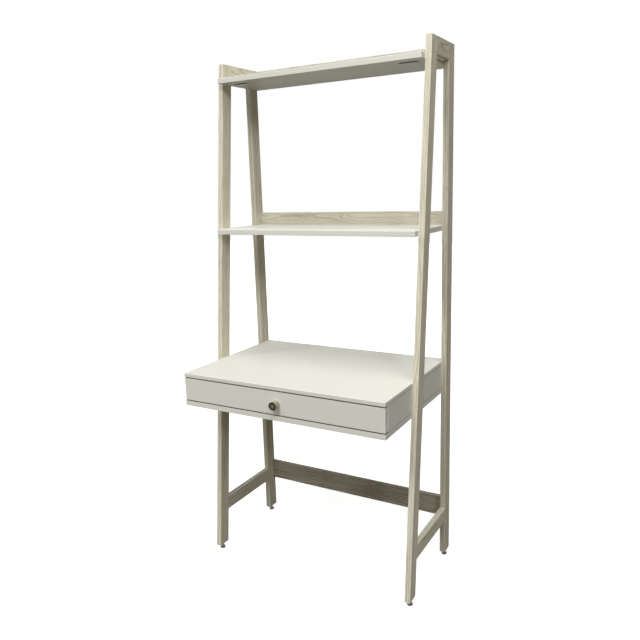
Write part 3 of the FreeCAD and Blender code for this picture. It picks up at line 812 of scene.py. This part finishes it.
def foot_stem(spot, low, high):
    stem = bmesh.new()
    cut_thread(stem, COLLAR_HIGH, math.floor((high - COLLAR_HIGH) / THREAD_PITCH - 1))
    rod(stem, THREAD_ROOT + CORE_PROUD, low, high, CORE_SIDES)
    rod(stem, THREAD_CREST, low, COLLAR_LOW, CORE_SIDES)
    collar = rod(stem, COLLAR_FLATS / math.sqrt(3), COLLAR_LOW, COLLAR_HIGH, 6)
    edges = list({edge for vert in collar for edge in vert.link_edges})
    bmesh.ops.bevel(stem, geom=edges, offset=COLLAR_BEVEL * MM, offset_type="OFFSET", affect="EDGES",
                    segments=2, profile=0.5, material=-1)
    bmesh.ops.translate(stem, vec=spot, verts=stem.verts)
    return stem


for foot in FEET:
    low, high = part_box(foot + "_foot_stem")
    stem = foot_stem(foot_spot(foot), low.z / MM, high.z / MM)
    as_piece(foot + "_threaded_stem", stem, BLACKENED, foot + "_foot_stem")


# %% [markdown]
# ## Finding the fasteners
#
# Under the shelves, inside the desk box and on the backs of the rails, the heads of the fasteners show.
# One piece of the construction may hold many of them. `solids` merges a copy of its mesh and follows
# the edges from point to point, so that each separate solid gives its own box. Each kind of fastener
# will be modelled once, as long as its solid.

# %% Old solids
def solids(node):
    whole = bmesh.new()
    whole.from_mesh(nodes[node].data)
    bmesh.ops.remove_doubles(whole, verts=whole.verts, dist=MERGE)
    left, boxes = set(whole.verts), []
    while left:
        group, edge = set(), {left.pop()}
        while edge:
            group |= edge
            edge = {link.other_vert(vert) for vert in edge for link in vert.link_edges} - group
        left -= group
        spans = list(zip(*(vert.co for vert in group)))
        boxes.append((Vector(map(min, spans)), Vector(map(max, spans))))
    whole.free()
    return sorted(boxes, key=lambda box: tuple(box[0]))


def length_of(node):
    low, high = solids(node)[0]
    return max(high - low) / MM


print(len(solids("shelf_bolts")), "shelf bolts,", round(length_of("shelf_bolts"), 1), "mm long")


# %% [markdown]
# ## Repeating a pattern
#
# `head_spots` turns the boxes of the old solids into the places of the heads. A heading says which way
# a head faces: down under the shelves and the desk box, to the wall in the drawer front, and to or from
# the middle of the desk at its sides. `repeated` then sets a copy of one pattern at every place, turned
# so that its Z looks the way that the head faces.

# %% Repeated shapes
def down(middle):
    return (0, 0, -1)


def to_wall(middle):
    return (0, 1, 0)


def inward(middle):
    return (-math.copysign(1, middle.x), 0, 0)


def outward(middle):
    return (math.copysign(1, middle.x), 0, 0)


def head_spots(node, heading):
    """Where each head's top lies and the way it faces. Heading is a direction for a solid's middle."""
    spots = []
    for low, high in solids(node):
        middle, half = (low + high) / 2, (high - low) / 2
        direction = Vector(heading(middle))
        reach = sum(abs(way) * extent for way, extent in zip(direction, half))
        spots.append((middle + direction * reach, direction))
    return spots


def repeated(pattern, spots):
    source = bpy.data.meshes.new("pattern")
    pattern.to_mesh(source)
    pattern.free()
    together = bmesh.new()
    for place, direction in spots:
        before = len(together.verts)
        together.from_mesh(source)
        together.verts.ensure_lookup_table()
        bmesh.ops.transform(together, matrix=Matrix.Translation(place) @ turn_to(direction),
                            verts=together.verts[before:])
    bpy.data.meshes.remove(source)
    return together


print("undersides of the shelves have", len(head_spots("shelf_screws", down)), "screw heads")


# %% [markdown]
# ## Cams with a cross drive
#
# The drives of the heads aren't round, so a lathe can't make them. A cross drive could be cut out with
# a boolean. Here it starts as a plain disc: eight cuts with `bisect_plane` part it, the faces that make
# up the cross are chosen by where their middles lie, and `inset_region` sinks them with sloping walls.
# `stepped` then takes the rim of the disc and draws it down through rings of given radius and depth,
# the way a screw narrows from its head to its point. The cams in the rails are the simplest such
# pieces: a drum with a cross in its end.

# %% Cams
DISC_SIDES, CUT_MERGE = 32, 1e-8
WALL_SLOPE = 0.3
CAM_OUTLINE, CAM_CROSS = [(7.1, 0.0), (7.5, 0.4), (7.5, 12.5)], (3.4, 0.8, 2.4)


def stepped(shape, rim, start, steps):
    """Draw a rim of edges from its (radius, depth) through further ones, and close the end."""
    radius, depth = start
    for next_radius, next_depth in steps:
        drawn = bmesh.ops.extrude_edge_only(shape, edges=rim)["geom"]
        rim = [item for item in drawn if isinstance(item, bmesh.types.BMEdge)]
        ring = [item for item in drawn if isinstance(item, bmesh.types.BMVert)]
        grow = next_radius / radius
        bmesh.ops.scale(shape, vec=(grow, grow, 1.0), verts=ring)
        bmesh.ops.translate(shape, vec=(0, 0, (depth - next_depth) * MM), verts=ring)
        radius, depth = next_radius, next_depth
    bmesh.ops.edgeloop_fill(shape, edges=rim)


def cross_head(outline, arm, width, sink):
    """Arm and width are half sizes of the cross. The outline is (radius, depth) from the top down."""
    shape = bmesh.new()
    bmesh.ops.create_circle(shape, cap_ends=True, segments=DISC_SIDES, radius=outline[0][0] * MM)
    for normal in (Vector((1, 0, 0)), Vector((0, 1, 0))):
        for cut in (-arm, -width, width, arm):
            parts = shape.verts[:] + shape.edges[:] + shape.faces[:]
            bmesh.ops.bisect_plane(shape, geom=parts, dist=CUT_MERGE, plane_co=normal * cut * MM,
                                   plane_no=normal)
    cross = []
    for face in shape.faces:
        small, large = sorted(abs(axis) / MM for axis in face.calc_center_median().xy)
        if small < width and large < arm:
            cross.append(face)
    rim = [edge for edge in shape.edges if edge.is_boundary]
    bmesh.ops.inset_region(shape, faces=cross, thickness=WALL_SLOPE * width * MM, depth=-sink * MM,
                           use_even_offset=True)
    stepped(shape, rim, outline[0], outline[1:])
    return shape


cam = cross_head(CAM_OUTLINE, *CAM_CROSS)
as_piece("slotted_cams", repeated(cam, head_spots("rail_cams", to_wall)), CAST_ZINC, "rail_cams")


# %% [markdown]
# ## Screws
#
# All screws have a cross drive too. A flat screw narrows under its head like a funnel, so that it sinks
# flush into the board. A pan screw has a low dome that stays proud. The cross and the dome are given as
# shares of the head, the table gives the head's and the shank's radius in millimetres, and for a pan
# screw the height of its head.

# %% Screws
TIP, FLAT_EDGE, FLAT_POINT, PAN_POINT = 0.3, 0.2, 3.0, 2.0
FLAT_CROSS, PAN_CROSS, PAN_SINK = (0.52, 0.14, 0.42), (0.5, 0.13), 0.75
PAN_DOME = ((0.72, 0.0), (0.93, 0.22), (1.0, 0.6), (1.0, 1.0))


def flat_screw(head, shank, length):
    outline = [(head, 0.0), (head, FLAT_EDGE), (shank, FLAT_EDGE + head - shank),
               (shank, length - FLAT_POINT), (TIP, length)]
    return cross_head(outline, *(share * head for share in FLAT_CROSS))


def pan_screw(head, shank, height, length):
    outline = [(wide * head, deep * height) for wide, deep in PAN_DOME]
    outline += [(shank, height), (shank, length - PAN_POINT), (TIP, length)]
    return cross_head(outline, *(share * head for share in PAN_CROSS), PAN_SINK * height)


def drive_all(fasteners):
    for node, (heading, make, sizes) in fasteners.items():
        pattern = make(*sizes, length_of(node))
        as_piece("driven_" + node, repeated(pattern, head_spots(node, heading)), ZINC, node)


drive_all({
    "desk_screws": (down, flat_screw, (3.95, 2.0)),
    "shelf_screws": (down, flat_screw, (3.95, 2.0)),
    "desk_slide_screws": (inward, flat_screw, (3.1, 1.75)),
    "drawer_slide_screws": (outward, pan_screw, (3.1, 1.75, 1.2)),
    "drawer_front_screws": (to_wall, pan_screw, (4.0, 2.0, 2.4)),
    "knob_screw": (to_wall, pan_screw, (4.0, 2.0, 2.4)),
})


# %% [markdown]
# ## Bolts
#
# The shelf bolts have a hexagon head, chamfered at the top so that a spanner slips on. The desk bolts
# have a low domed head with a hexagonal socket. There the hexagon of the key and the round of the head
# have different numbers of corners, and `bridge_loops` joins two such rims with one band of faces.

# %% Bolts
SOCKET_SIDES, SHANK_SIDES = 24, 24
CHAMFER_INWARD, CHAMFER_DOWN = 0.88, 0.55
DOMED_TOP = [(3.1, 0.0), (4.3, 0.45), (5.15, 1.4), (5.5, 2.5), (5.5, 3.3), (3.0, 3.3)]
DOMED_SHANK, DOMED_KEY, DOMED_SINK = 3.0, 4.0, 2.0


def hex_bolt(flats, height, shank, length):
    shape = bmesh.new()
    corner = flats / math.sqrt(3)
    top = CHAMFER_INWARD * corner
    bmesh.ops.create_circle(shape, cap_ends=True, segments=6, radius=top * MM)
    rim = [edge for edge in shape.edges if edge.is_boundary]
    stepped(shape, rim, (top, 0.0), ((corner, CHAMFER_DOWN), (corner, height)))
    rod(shape, shank, -length, -height, SHANK_SIDES)
    sixth = Matrix.Rotation(math.pi / 6, 3, "Z")
    bmesh.ops.rotate(shape, cent=(0, 0, 0), matrix=sixth, verts=shape.verts)
    return shape


def rim_of(points):
    return list({edge for vert in points for edge in vert.link_edges})


def domed_bolt(length):
    outline = DOMED_TOP + [(DOMED_SHANK, length)]
    corner, round_top = DOMED_KEY / math.sqrt(3), outline[0][0]
    shape = bmesh.new()
    key_rim = rim_of(bmesh.ops.create_circle(shape, segments=6, radius=corner * MM)["verts"])
    rim = rim_of(bmesh.ops.create_circle(shape, segments=SOCKET_SIDES, radius=round_top * MM)["verts"])
    bmesh.ops.bridge_loops(shape, edges=key_rim + rim)
    stepped(shape, key_rim, (DOMED_KEY, 0.0), ((DOMED_KEY, DOMED_SINK),))
    stepped(shape, rim, outline[0], outline[1:])
    return shape


drive_all({"shelf_bolts": (inward, hex_bolt, (10.0, 4.0, 3.0)), "desk_bolts": (inward, domed_bolt, ())})


# %% [markdown]
# ## Drawer slides
#
# A ball-bearing slide is three steel strips, rolled into channels that hold each other through rows of
# balls. The rolled corners have no sharp edge anywhere. Each member starts as the outline of its
# section, a chain of edges. A bevel on its corner points rounds the bends, an extrusion draws it out to
# length and `solidify` gives the sheet its thickness.

# %% Slides
SHEET, BEND, BEND_STEPS = 1.2, 2.1, 5
MEMBERS = (("outer", 1, 2.6), ("middle", 1, 0.0), ("inner", -1, 0.0))


def rolled(node, opens_in, lip):
    """A channel that fills its box. Opens_in is 1 where it opens to the middle of the desk, else -1."""
    low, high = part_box(node)
    side = math.copysign(1, low.x + high.x)
    far, near = (high.x, low.x) if side * opens_in > 0 else (low.x, high.x)
    corners = [(near, high.z), (far, high.z), (far, low.z), (near, low.z)]
    if lip:
        corners = [(near, high.z - lip * MM)] + corners + [(near, low.z + lip * MM)]
    shape = bmesh.new()
    chain = [shape.verts.new((x, low.y, z)) for x, z in corners]
    for pair in zip(chain, chain[1:]):
        shape.edges.new(pair)
    bmesh.ops.bevel(shape, geom=chain[1:-1], offset=BEND * MM, offset_type="OFFSET", affect="VERTICES",
                    segments=BEND_STEPS, profile=0.5, material=-1)
    drawn = bmesh.ops.extrude_edge_only(shape, edges=shape.edges[:])["geom"]
    bmesh.ops.translate(shape, vec=(0, high.y - low.y, 0),
                        verts=[item for item in drawn if isinstance(item, bmesh.types.BMVert)])
    bmesh.ops.recalc_face_normals(shape, faces=shape.faces)
    bmesh.ops.solidify(shape, geom=shape.faces[:], thickness=SHEET * MM)
    return shape


for side in ("left", "right"):
    for member, opens_in, lip in MEMBERS:
        node = side + "_slide_" + member
        as_piece(side + "_rolled_" + member, rolled(node, opens_in, lip), SLIDE_ZINC, node)


# %% [markdown]
# ## Lamps
#
# The desk stood in a studio with its main light in front and above, weaker ones on the left, on the
# right and overhead, and a small warm one close to its left end. Lamps that stand far away light the
# whole height evenly. A close lamp fades along the desk, so one lifts its upper right part alone. Two
# low lamps, behind the desk and on its far side, keep those sides readable when the desk is turned.
# They stand low and off the camera's line, so that the lacquered top doesn't throw their glare into it.
# Each lamp has two angles in degrees, a distance and a width in metres, and a power in watts.

# %% Lamps
LIT_POINT = Vector((0.0, 0.0, 0.8))
FAR, OVERHEAD = 20.0, 10.0
WHITE_LIGHT, WARM_LIGHT = (1.0, 1.0, 1.0), (1.0, 0.84, 0.76)


def studio_lamp(name, azimuth, elevation, distance, size, power, colour=WHITE_LIGHT):
    """A round soft lamp. Azimuth 0 is straight in front of the desk, 90 is on its right."""
    turn, rise = math.radians(azimuth), math.radians(elevation)
    level = Vector((math.sin(turn), -math.cos(turn), 0.0)) * math.cos(rise)
    way = level + Vector((0.0, 0.0, math.sin(rise)))
    lamp = bpy.data.lights.new(name, "AREA")
    lamp.shape = "DISK"
    lamp.size = size
    lamp.energy = power
    lamp.color = colour
    holder = bpy.data.objects.new(name, lamp)
    holder.location = LIT_POINT + way * distance
    holder.rotation_euler = way.to_track_quat("Z", "Y").to_euler()
    scene.collection.objects.link(holder)
    print(name, "of", power, "W hangs at", [round(axis, 2) for axis in holder.location])


studio_lamp("front_lamp", 0, 46, FAR, 3.6, 1550.0)
studio_lamp("left_lamp", -45, 42, FAR, 2.4, 440.0)
studio_lamp("right_lamp", 45, 28, FAR, 3.6, 515.0)
studio_lamp("side_lamp", 80, 20, FAR, 3.6, 130.0)
studio_lamp("far_side_lamp", -95, 3, FAR, 2.0, 850.0)
studio_lamp("back_lamp", -175, 3, FAR, 2.0, 1050.0)
studio_lamp("ceiling_lamp", 45, 76, OVERHEAD, 5.6, 356.0)
studio_lamp("near_lamp", 34, 51, 2.3, 0.6, 8.0)
studio_lamp("warm_lamp", -45, -4, 1.27, 0.3, 0.6, WARM_LIGHT)


# %% [markdown]
# ## The white world
#
# The picture's ground is pure white. More light would give that too, but it would bleach the desk.
# Here white is only the colour that the world shows to the camera and to mirror-like or clear surfaces,
# which the Light Path node tells apart. To every other ray the world is a dim warm grey, the soft fill
# of a room.

# %% World
WHITE = rgb(1.0, 1.0, 1.0)
SKY_LIGHT = rgb(0.105, 0.102, 0.086)


def ray_is(finish, kind):
    return finish.add("LightPath", output="Is %s Ray" % kind)


def shown(finish):
    """1 for the camera and for mirror-like and clear surfaces, 0 for light on its way to the desk."""
    mirrored = ray_is(finish, "Glossy").larger(ray_is(finish, "Transmission"))
    return mirrored.larger(ray_is(finish, "Camera"))


world = bpy.data.worlds.new("studio")
scene.world = world
sky = Finish("studio", world, "Background")
sky.set(Color=sky.mix(shown(sky), SKY_LIGHT, WHITE), Strength=1.0)
print("world:", SKY_LIGHT[:3], "for light, white for the camera and for mirrors")


# %% [markdown]
# ## The floor
#
# The floor is one large square. It shows itself pale, and a glow brings it close to white, a little
# less under the desk so that the shadow stays. Mirror-like surfaces see a quarter of that glow, or the
# slides would look snow-white. To light on its way to the desk the floor is a plain grey, so that it
# doesn't light the desk from below.

# %% Floor
FLOOR_REACH = 12.0
FLOOR_PALE, FLOOR_GREY = rgb(0.80, 0.80, 0.80), rgb(0.16, 0.153, 0.132)
BLACK = rgb(0.0, 0.0, 0.0)
GLOW_UNDER, GLOW_GAIN, GLOW_RISE = 0.76, 0.24, (0.9, 3.0)
GLOW_MIRRORED, GLOW_SEEN = 0.25, 0.75

floor_mesh = bmesh.new()
bmesh.ops.create_grid(floor_mesh, x_segments=1, y_segments=1, size=FLOOR_REACH)
floor_data = bpy.data.meshes.new("floor")
floor_mesh.to_mesh(floor_data)
floor_mesh.free()
floor = bpy.data.objects.new("floor", floor_data)
scene.collection.objects.link(floor)
pale_floor = Finish("pale_floor")
seen = shown(pale_floor)
across, ahead, height = pale_floor.axes(pale_floor.place())
distance = (across * across + ahead * ahead).root()
glow = GLOW_UNDER + GLOW_GAIN * distance.rise(*GLOW_RISE)
glow = glow * (GLOW_MIRRORED + GLOW_SEEN * ray_is(pale_floor, "Camera"))
floor_data.materials.append(pale_floor.set(
    Base_Color=pale_floor.mix(seen, FLOOR_GREY, FLOOR_PALE),
    Emission_Color=pale_floor.mix(seen * glow, BLACK, WHITE),
    Emission_Strength=1.0, Roughness=1.0, Specular_IOR_Level=0.0))
print("floor", 2 * FLOOR_REACH, "m square")


# %% [markdown]
